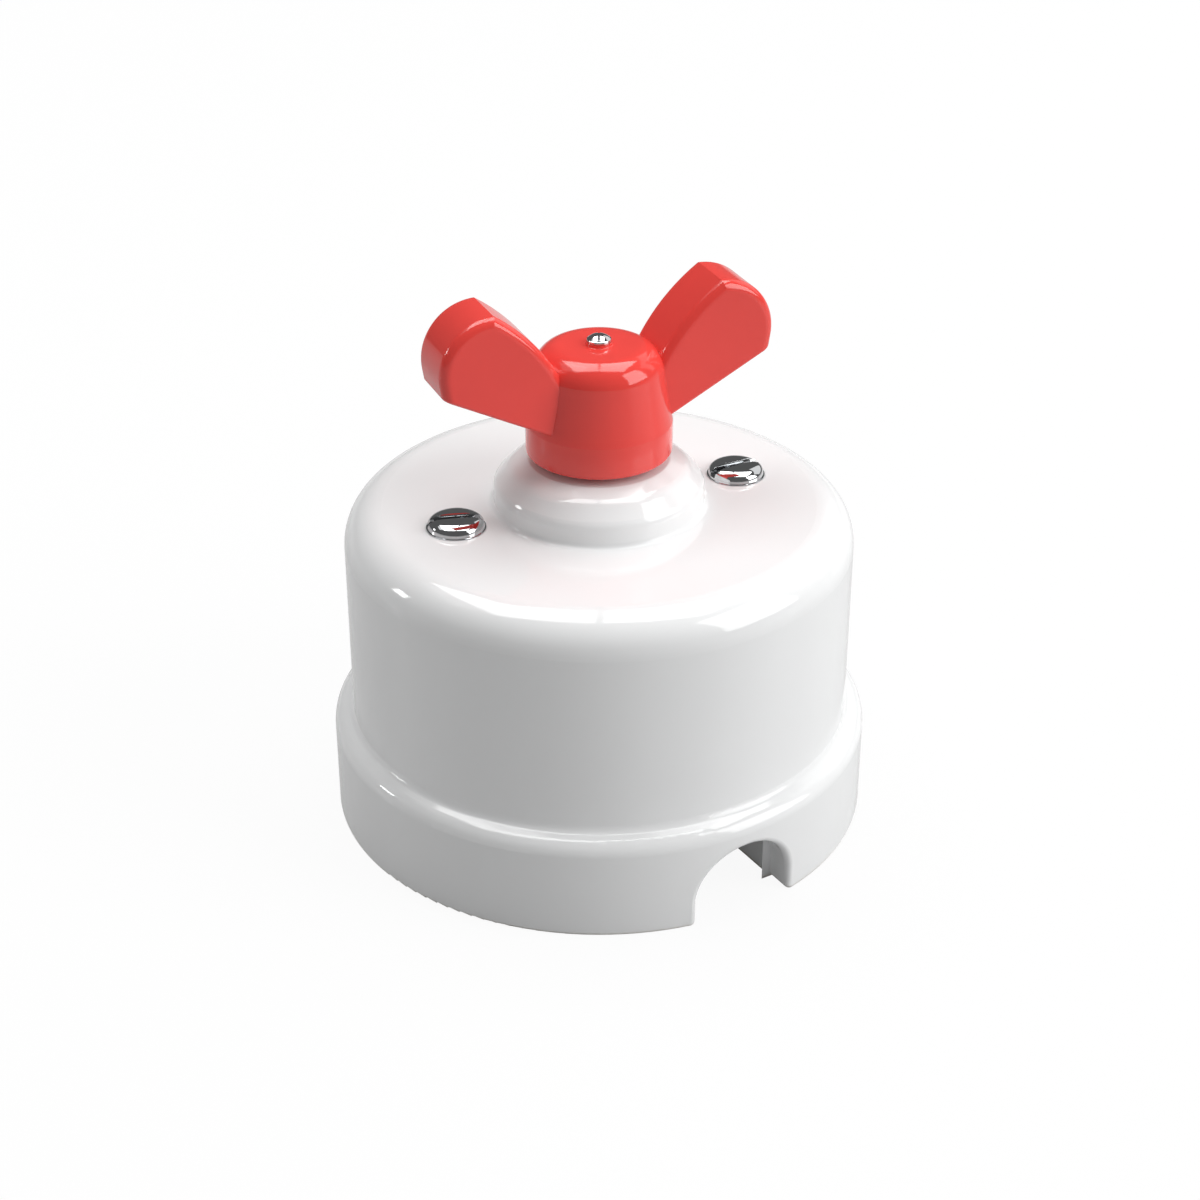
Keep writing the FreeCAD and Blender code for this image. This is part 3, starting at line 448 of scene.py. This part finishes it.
def crown(radius, rise, bottom, steps=16):
    """Rings of a cushioned head: nearly flat on top, with a round shoulder down to its rim."""
    power = 2 / CROWN_FULLNESS
    rings = []
    for step in range(steps):
        angle = math.pi / 2 * step / steps
        rings.append((radius * math.cos(angle) ** power, bottom + rise * math.sin(angle) ** power))
    return rings


def cut_slot(piece, head, width, floor, top, chamfer):
    """Mills a straight slot along X from a head's top to the slot's floor, with chamfered edges."""
    let_go()
    reach = head + CUTTER_SPARE
    up = 1 if top > floor else -1
    ledge = top - up * chamfer
    middle = (floor + ledge) / 2
    bpy.ops.mesh.primitive_cube_add(size=1.0, location=(0, 0, middle))
    cutter = bpy.context.object
    bpy.ops.transform.resize(value=(2 * reach, width, abs(ledge - floor)), center_override=(0, 0, middle))
    bpy.ops.object.transform_apply(location=True, rotation=True, scale=True)
    bpy.ops.object.mode_set(mode="EDIT")
    bpy.ops.mesh.select_mode(type="FACE")
    bpy.ops.mesh.select_all(action="DESELECT")
    bpy.ops.object.mode_set(mode="OBJECT")
    for face in cutter.data.polygons:
        face.select = face.normal.z * up > 0.5
    bpy.ops.object.mode_set(mode="EDIT")
    flare = chamfer + CUTTER_SPARE
    bpy.ops.mesh.extrude_region_move(TRANSFORM_OT_translate={"value": (0, 0, up * flare)})
    widening = (width + 2 * flare) / width
    bpy.ops.transform.resize(value=(1, widening, 1), center_override=(0, 0, ledge + up * flare))
    bpy.ops.mesh.select_all(action="SELECT")
    bpy.ops.mesh.normals_make_consistent(inside=False)
    let_go()
    bpy.context.view_layer.objects.active = piece
    piece.select_set(True)
    mill = piece.modifiers.new("slot", "BOOLEAN")
    mill.operation = "DIFFERENCE"
    mill.solver = "EXACT"
    mill.object = cutter
    bpy.ops.object.modifier_apply(modifier=mill.name)
    bpy.data.objects.remove(cutter)


def soften(piece, width):
    """Breaks a piece's sharp edges and shades it smooth between them."""
    let_go()
    bpy.context.view_layer.objects.active = piece
    piece.select_set(True)
    edge = piece.modifiers.new("edge", "BEVEL")
    edge.width = width
    edge.segments = 2
    edge.limit_method = "ANGLE"
    edge.angle_limit = BREAK_ANGLE
    edge.use_clamp_overlap = True
    bpy.ops.object.modifier_apply(modifier=edge.name)
    bpy.ops.object.shade_smooth_by_angle(angle=SMOOTH_ANGLE)


def placed(piece, name, turn, place, upside_down=False):
    """A copy of a piece with its own mesh, turned and moved, with its place in the mesh."""
    let_go()
    copy = piece.copy()
    copy.data = piece.data.copy()
    copy.name = copy.data.name = name
    bpy.context.scene.collection.objects.link(copy)
    bpy.context.view_layer.objects.active = copy
    copy.select_set(True)
    copy.rotation_euler = (math.pi if upside_down else 0.0, 0.0, turn)
    copy.location = place
    bpy.ops.object.transform_apply(location=True, rotation=True, scale=True)
    return copy


def discard(piece):
    """Removes a pattern piece once its copies are in place."""
    bpy.data.objects.remove(piece)


def hand_over(piece, material, body):
    """Finishes a piece and lets it ride on its body."""
    piece.data.materials.clear()
    piece.data.materials.append(material)
    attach(piece, body)


def slotted_pattern(name, sizes, head, rise, shank, reach, pitch, sides):
    """A screw with a low cheese head, its head below zero and its shank above, as it stands in the base."""
    rounding = 0.2 * rise
    shoulder = 0.3 * rounding
    bevel = 0.1 * rise
    neck = 0.4 * pitch
    outline = [
        (head - rounding, -rise),
        (head - shoulder, -rise + shoulder),
        (head, -rise + rounding),
        (head, -bevel),
        (head - bevel, 0.0),
        (shank, 0.0),
        (shank, neck),
    ]
    thread = threaded(shank, 0.32 * pitch, pitch, 0.0, reach - neck)
    outline += [(radius, reach - height) for radius, height in reversed(thread)]
    piece = turned(name, outline, sides)
    cut_slot(piece, head, sizes.slot, sizes.slot_depth - rise, -rise, sizes.slot_chamfer)
    soften(piece, 0.06 * MM)
    return piece


class SWITCH_OT_glaze_porcelain(bpy.types.Operator):
    """Glaze the porcelain cover and base"""

    bl_idname = "switch.glaze_porcelain"
    bl_label = "Glaze porcelain"

    def execute(self, context):
        dress(("cover", "base"), shared(glazed_porcelain, context))
        return {"FINISHED"}


class SWITCH_OT_colour_knob(bpy.types.Operator):
    """Give the winged knob its red plastic"""

    bl_idname = "switch.colour_knob"
    bl_label = "Colour knob"

    def execute(self, context):
        dress(("knob",), shared(moulded_red, context))
        return {"FINISHED"}


class SWITCH_OT_finish_brass(bpy.types.Operator):
    """Finish the posts, terminals, rivets, bearing and contact plates in brass"""

    bl_idname = "switch.finish_brass"
    bl_label = "Finish brass pieces"

    def execute(self, context):
        brass = shared(milled_brass, context)
        dress(("cover_posts", "leaf_rivets", "spindle_bush", "thrust_washer", "knob_insert"), brass)
        dress(("rotor_segment_right", "rotor_segment_left"), brass)
        dress(four_of("terminal"), brass)
        return {"FINISHED"}


class SWITCH_OT_finish_steel(bpy.types.Operator):
    """Finish the yoke, spindle and click cam in zinc plated steel"""

    bl_idname = "switch.finish_steel"
    bl_label = "Finish steel pieces"

    def execute(self, context):
        dress(("yoke", "spindle", "index_cam"), shared(zinc_plated_steel, context))
        return {"FINISHED"}


class SWITCH_OT_finish_springs(bpy.types.Operator):
    """Finish the click springs, the clip and the contact leaves"""

    bl_idname = "switch.finish_springs"
    bl_label = "Finish springs"

    def execute(self, context):
        springs = ("index_spring_rear", "index_spring_front", "retaining_clip")
        dress(springs, shared(rolled_spring_steel, context))
        dress(four_of("contact_leaf"), shared(rolled_bronze, context))
        return {"FINISHED"}


class SWITCH_OT_mould_rotor(bpy.types.Operator):
    """Give the rotor its brown thermoset"""

    bl_idname = "switch.mould_rotor"
    bl_label = "Mould rotor"

    def execute(self, context):
        dress(("rotor",), shared(moulded_rotor, context))
        return {"FINISHED"}


class SWITCH_OT_add_cover_screws(bpy.types.Operator):
    """Add the two raised countersunk screws of the cover, chrome plated, each with a slot and a thread"""

    bl_idname = "switch.add_cover_screws"
    bl_label = "Add cover screws"

    def execute(self, context):
        sizes = context.scene.switch_screws
        head, shank, rim = sizes.cover_head, sizes.cover_shank, sizes.cover_rim
        top = rim + sizes.cover_crown
        cone_foot = shank - head - 0.1 * MM
        neck = cone_foot - 0.2 * MM
        thread_end = neck - 0.2 * MM
        cone_edge = -0.08 * MM
        outline = threaded(shank, sizes.cover_thread, sizes.pitch, -sizes.cover_length, thread_end)
        outline += [(shank, neck), (shank, cone_foot), (head, cone_edge), (head, rim)]
        outline += crown(head - sizes.cover_ledge, sizes.cover_crown, rim)
        pattern = turned("cover_screw_pattern", outline, sides=72)
        floor = top - sizes.cover_slot_depth
        cut_slot(pattern, head, sizes.cover_slot, floor, top, sizes.cover_chamfer)
        soften(pattern, 0.07 * MM)
        chrome = shared(polished_chrome, context)
        seat = COVER_HIGH.z - SOLID_COVER_RISE
        offset = COVER_HIGH.x - head
        rows = (("cover_screw_left", -1, sizes.left_turn), ("cover_screw_right", 1, sizes.right_turn))
        for name, side, turn in rows:
            screw = placed(pattern, name, turn, (side * offset, 0.0, seat))
            hand_over(screw, chrome, "housing")
            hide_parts("cover_screws")
        discard(pattern)
        return {"FINISHED"}


class SWITCH_OT_add_knob_screw(bpy.types.Operator):
    """Add the small domed screw on top of the knob"""

    bl_idname = "switch.add_knob_screw"
    bl_label = "Add knob screw"

    def execute(self, context):
        sizes = context.scene.switch_screws
        head, shank = sizes.knob_head, sizes.knob_shank
        seat = KNOB_SCREW_HIGH.z - SOLID_KNOB_RISE
        rim = seat + sizes.knob_rim
        top = rim + sizes.knob_dome
        neck = seat - 0.3 * MM
        thread_end = neck - 0.2 * MM
        bevel = 0.05 * MM
        shoulder = 0.1 * MM
        outline = threaded(shank, sizes.knob_thread, sizes.knob_pitch, KNOB_SCREW_LOW.z, thread_end)
        outline += [(shank, neck), (shank, seat), (head - bevel, seat), (head, seat + bevel)]
        outline += [(head, rim - shoulder), (head - 0.4 * shoulder, rim - 0.2 * shoulder)]
        outline += dome(head - shoulder, sizes.knob_dome, rim)
        pattern = turned("knob_screw_pattern", outline, sides=56)
        cut_slot(pattern, head, sizes.knob_slot, top - sizes.knob_slot_depth, top, sizes.knob_chamfer)
        soften(pattern, 0.04 * MM)
        screw = placed(pattern, "knob_screw_chrome", sizes.knob_turn, (0.0, 0.0, 0.0))
        discard(pattern)
        hand_over(screw, shared(polished_chrome, context), "knob_assembly")
        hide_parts("knob_screw")
        return {"FINISHED"}


class SWITCH_OT_add_post_screws(bpy.types.Operator):
    """Add the two screws that hold the brass posts from below"""

    bl_idname = "switch.add_post_screws"
    bl_label = "Add post screws"

    def execute(self, context):
        sizes = context.scene.switch_screws
        head, rise, shank = sizes.post_head, sizes.post_rise, sizes.post_shank
        seat = POST_LOW.z + rise
        reach = POST_HIGH.z - seat
        pattern = slotted_pattern(
            "post_screw_pattern", sizes, head, rise, shank, reach, sizes.pitch, sides=48
        )
        zinc = shared(zinc_plated_steel, context)
        offset = POST_HIGH.x - head
        left_turn, right_turn = POST_TURNS
        for name, side, turn in (("post_screw_left", -1, left_turn), ("post_screw_right", 1, right_turn)):
            screw = placed(pattern, name, turn, (side * offset, 0.0, seat))
            hand_over(screw, zinc, "housing")
            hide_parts("post_screws")
        discard(pattern)
        return {"FINISHED"}


class SWITCH_OT_add_base_screws(bpy.types.Operator):
    """Add the screws that hold the terminals and the yoke from below"""

    bl_idname = "switch.add_base_screws"
    bl_label = "Add base screws"

    def execute(self, context):
        sizes = context.scene.switch_screws
        head, rise, shank, pitch = sizes.base_head, sizes.base_rise, sizes.base_shank, sizes.base_pitch
        seat = BASE_LOW.z + rise
        across, along = BASE_HIGH.x - head, BASE_HIGH.y - head
        terminal_places = [(x * across, y * along) for x in (1, -1) for y in (1, -1)]
        yoke_places = [(x * sizes.yoke_offset, 0.0) for x in (1, -1)]
        terminal_reach = BASE_HIGH.z - seat
        yoke_reach = YOKE_LOW.z + sizes.yoke_grip - seat
        zinc = shared(zinc_plated_steel, context)
        number = 0
        for name, reach, places in (
            ("terminal_screw", terminal_reach, terminal_places),
            ("yoke_screw", yoke_reach, yoke_places),
        ):
            pattern = slotted_pattern(f"{name}_pattern", sizes, head, rise, shank, reach, pitch, sides=40)
            for x, y in places:
                turn = BASE_TURN + BASE_TURN_STEP * number
                screw = placed(pattern, f"{name}_{number + 1}", turn, (x, y, seat))
                hand_over(screw, zinc, "housing")
                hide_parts("base_screws")
                number += 1
            discard(pattern)
        return {"FINISHED"}


class SWITCH_OT_add_clamp_screws(bpy.types.Operator):
    """Add the four screws that clamp the wires in the terminals"""

    bl_idname = "switch.add_clamp_screws"
    bl_label = "Add clamp screws"

    def execute(self, context):
        sizes = context.scene.switch_screws
        head, rise, shank = sizes.clamp_head, sizes.clamp_rise, sizes.clamp_shank
        seat = CLAMP_HIGH.z - rise
        reach = seat - CLAMP_LOW.z
        pattern = slotted_pattern(
            "clamp_screw_pattern", sizes, head, rise, shank, reach, sizes.clamp_pitch, sides=44
        )
        zinc = shared(zinc_plated_steel, context)
        middle = (TERMINAL_LOW + TERMINAL_HIGH) / 2
        for number, (x, y) in enumerate(((1, 1), (-1, 1), (-1, -1), (1, -1))):
            place = (x * middle.x, y * middle.y, seat)
            turn = CLAMP_TURN + CLAMP_TURN_STEP * number
            screw = placed(pattern, f"clamp_screw_{number + 1}", turn, place, upside_down=True)
            hand_over(screw, zinc, "housing")
            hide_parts("clamp_screws")
        discard(pattern)
        return {"FINISHED"}


def studio_point(azimuth, reach, height, studio):
    """A point round the switch: as the camera sees it, azimuth 0 is behind and 90 degrees on the right."""
    right, away = reach * math.sin(azimuth), reach * math.cos(azimuth)
    turn = studio.camera_turn
    return Vector((
        right * math.cos(turn) + away * math.sin(turn),
        away * math.cos(turn) - right * math.sin(turn),
        height,
    ))


def aim(thing, place, target):
    """Puts a lamp or camera at a place and points it at a target."""
    thing.location = place
    thing.rotation_euler = (target - place).to_track_quat("-Z", "Y").to_euler()


def grey(value):
    """An even grey as a socket takes it."""
    return (value, value, value, 1.0)


def mixed(tree, factor, first, second):
    """A shader between two, by a factor's output."""
    node = tree.nodes.new("ShaderNodeMixShader")
    tree.links.new(factor, node.inputs["Fac"])
    tree.links.new(first, node.inputs[1])
    tree.links.new(second, node.inputs[2])
    return node.outputs["Shader"]


def studio_white(studio):
    """The floor: white with a trace of shadow where it shows, part white in a reflection, and else grey."""
    material, tree, shader = fresh_material("studio_white", 0.0, 0.3)
    shader.inputs["Base Color"].default_value = grey(studio.floor_bounce)
    shader.inputs["IOR"].default_value = GLOSS_IOR
    paper = tree.nodes.new("ShaderNodeBsdfDiffuse")
    paper.inputs["Color"].default_value = grey(0.8)
    glow = tree.nodes.new("ShaderNodeEmission")
    glow.inputs["Color"].default_value = grey(1.0)
    glow.inputs["Strength"].default_value = 1.0
    seen = tree.nodes.new("ShaderNodeMixShader")
    seen.inputs["Fac"].default_value = studio.floor_shadow
    tree.links.new(glow.outputs["Emission"], seen.inputs[1])
    tree.links.new(paper.outputs["BSDF"], seen.inputs[2])
    rays = tree.nodes.new("ShaderNodeLightPath")
    white_share = tree.nodes.new("ShaderNodeMath")
    white_share.operation = "MULTIPLY_ADD"
    white_share.inputs[1].default_value = studio.floor_mirror
    tree.links.new(rays.outputs["Is Glossy Ray"], white_share.inputs[0])
    tree.links.new(rays.outputs["Is Camera Ray"], white_share.inputs[2])
    surface = mixed(tree, white_share.outputs["Value"], shader.outputs["BSDF"], seen.outputs["Shader"])
    tree.links.new(surface, tree.nodes["Material Output"].inputs["Surface"])
    return material


def studio_walls(studio):
    """The world: white where it shows, dark in a reflection, and else an even pale light."""
    world = bpy.data.worlds.new("studio_walls")
    world.use_nodes = True
    tree = world.node_tree
    light = tree.nodes["Background"]
    light.inputs["Color"].default_value = grey(studio.sky)
    mirrored = tree.nodes.new("ShaderNodeBackground")
    mirrored.inputs["Color"].default_value = grey(studio.sky_mirror)
    white = tree.nodes.new("ShaderNodeBackground")
    white.inputs["Color"].default_value = grey(1.0)
    rays = tree.nodes.new("ShaderNodeLightPath")
    glossy, camera = rays.outputs["Is Glossy Ray"], rays.outputs["Is Camera Ray"]
    unseen = mixed(tree, glossy, light.outputs["Background"], mirrored.outputs["Background"])
    surface = mixed(tree, camera, unseen, white.outputs["Background"])
    tree.links.new(surface, tree.nodes["World Output"].inputs["Surface"])
    return world


class SWITCH_OT_set_stage(bpy.types.Operator):
    """Lay the white floor and set the studio's pale walls"""

    bl_idname = "switch.set_stage"
    bl_label = "Set stage"

    def execute(self, context):
        scene = context.scene
        let_go()
        bpy.ops.mesh.primitive_circle_add(
            vertices=96, radius=FLOOR_RADIUS, fill_type="NGON", location=(0, 0, 0)
        )
        floor = context.object
        floor.name = floor.data.name = "studio_floor"
        floor.data.materials.append(studio_white(scene.switch_studio))
        scene.world = studio_walls(scene.switch_studio)
        scene.view_settings.view_transform = "Standard"
        return {"FINISHED"}


# Name, azimuth in degrees as the camera sees it, distance along the floor, height, width and length in
# metres, watts. The overhead lamps hang flat, side by side with a narrow gap. The others face the switch.
# A gloss lamp shows in reflections and gives the surfaces no other light.
LAMPS = (
    ("overhead_left", -44.0, 0.39, 1.04, 0.52, 0.84, 3.3),
    ("overhead_right", 46.0, 0.40, 1.04, 0.54, 0.84, 3.4),
    ("overhead_left_gloss", -44.0, 0.39, 1.02, 0.52, 0.84, 4.1),
    ("overhead_right_gloss", 46.0, 0.40, 1.02, 0.54, 0.84, 4.3),
    ("right_softbox", 106.5, 1.0, 0.73, 0.71, 1.09, 11.2),
    ("left_spot", -84.0, 0.95, 0.35, 0.13, 0.16, 0.75),
    ("left_high", -70.0, 0.45, 0.93, 0.5, 0.5, 0.8),
    ("rear_right", 48.0, 0.87, 0.5, 0.8, 0.6, 1.4),
)


class SWITCH_OT_hang_lamps(bpy.types.Operator):
    """Hang the studio's soft lamps round the switch"""

    bl_idname = "switch.hang_lamps"
    bl_label = "Hang lamps"

    def execute(self, context):
        studio = context.scene.switch_studio
        for name, azimuth, reach, height, width, extent, watts in LAMPS:
            data = bpy.data.lights.new(name, "AREA")
            data.shape = "RECTANGLE"
            data.size = width
            data.size_y = extent
            data.energy = watts
            lamp = bpy.data.objects.new(name, data)
            context.scene.collection.objects.link(lamp)
            lamp.visible_diffuse = not name.endswith("gloss")
            place = studio_point(math.radians(azimuth), reach, height, studio)
            if name.startswith("overhead"):
                lamp.location = place
                lamp.rotation_euler = (0.0, 0.0, -studio.camera_turn)
            elif name == "right_softbox":
                aim(lamp, place, Vector((0.0, 0.0, height)))
            else:
                aim(lamp, place, LAMP_TARGET)
        return {"FINISHED"}


class SWITCH_OT_place_camera(bpy.types.Operator):
    """Place the camera in front of the switch and look down on it"""

    bl_idname = "switch.place_camera"
    bl_label = "Place camera"

    def execute(self, context):
        studio = context.scene.switch_studio
        data = bpy.data.cameras.new("camera")
        data.sensor_fit = "HORIZONTAL"
        data.sensor_width = 36.0
        data.lens = studio.lens
        data.clip_start = 0.01
        data.clip_end = 20.0
        camera = bpy.data.objects.new("camera", data)
        context.scene.collection.objects.link(camera)
        target = Vector((*AIM_OFFSET, studio.look_height))
        reach = studio.camera_distance * math.cos(studio.camera_rise)
        height = studio.look_height + studio.camera_distance * math.sin(studio.camera_rise)
        place = studio_point(math.pi, reach, height, studio)
        aim(camera, place, target)
        context.scene.camera = camera
        return {"FINISHED"}


class SWITCH_PT_panel(bpy.types.Panel):
    """Lists the steps that dress the switch, and its sizes and colours"""

    bl_idname = "SWITCH_PT_panel"
    bl_label = "Rotary switch"
    bl_space_type = "VIEW_3D"
    bl_region_type = "UI"
    bl_category = "Rotary switch"

    def draw(self, context):
        for step in STEPS:
            self.layout.operator(step.bl_idname)
        scene = context.scene
        for group in (scene.switch_screws, scene.switch_colours, scene.switch_studio):
            box = self.layout.box()
            for key in group.__annotations__:
                box.prop(group, key)


STEPS = (
    SWITCH_OT_place_camera,
    SWITCH_OT_set_stage,
    SWITCH_OT_hang_lamps,
    SWITCH_OT_glaze_porcelain,
    SWITCH_OT_colour_knob,
    SWITCH_OT_finish_brass,
    SWITCH_OT_finish_steel,
    SWITCH_OT_finish_springs,
    SWITCH_OT_mould_rotor,
    SWITCH_OT_add_cover_screws,
    SWITCH_OT_add_knob_screw,
    SWITCH_OT_add_post_screws,
    SWITCH_OT_add_base_screws,
    SWITCH_OT_add_clamp_screws,
)
CLASSES = (ScrewSizes, FinishColours, StudioSizes, *STEPS, SWITCH_PT_panel)


def register():
    """Makes the classes known and gives the scene its sizes and colours."""
    for cls in CLASSES:
        bpy.utils.register_class(cls)
    bpy.types.Scene.switch_screws = PointerProperty(type=ScrewSizes)
    bpy.types.Scene.switch_colours = PointerProperty(type=FinishColours)
    bpy.types.Scene.switch_studio = PointerProperty(type=StudioSizes)


def unregister():
    """Takes back all that register does."""
    del bpy.types.Scene.switch_studio
    del bpy.types.Scene.switch_colours
    del bpy.types.Scene.switch_screws
    for cls in reversed(CLASSES):
        bpy.utils.unregister_class(cls)


def main():
    """Dresses the switch step by step."""
    register()
    bpy.ops.switch.place_camera()
    bpy.ops.switch.set_stage()
    bpy.ops.switch.hang_lamps()
    bpy.ops.switch.glaze_porcelain()
    bpy.ops.switch.colour_knob()
    bpy.ops.switch.finish_brass()
    bpy.ops.switch.finish_steel()
    bpy.ops.switch.finish_springs()
    bpy.ops.switch.mould_rotor()
    bpy.ops.switch.add_cover_screws()
    bpy.ops.switch.add_knob_screw()
    bpy.ops.switch.add_post_screws()
    bpy.ops.switch.add_base_screws()
    bpy.ops.switch.add_clamp_screws()
    let_go()


if __name__ == "__main__":
    main()
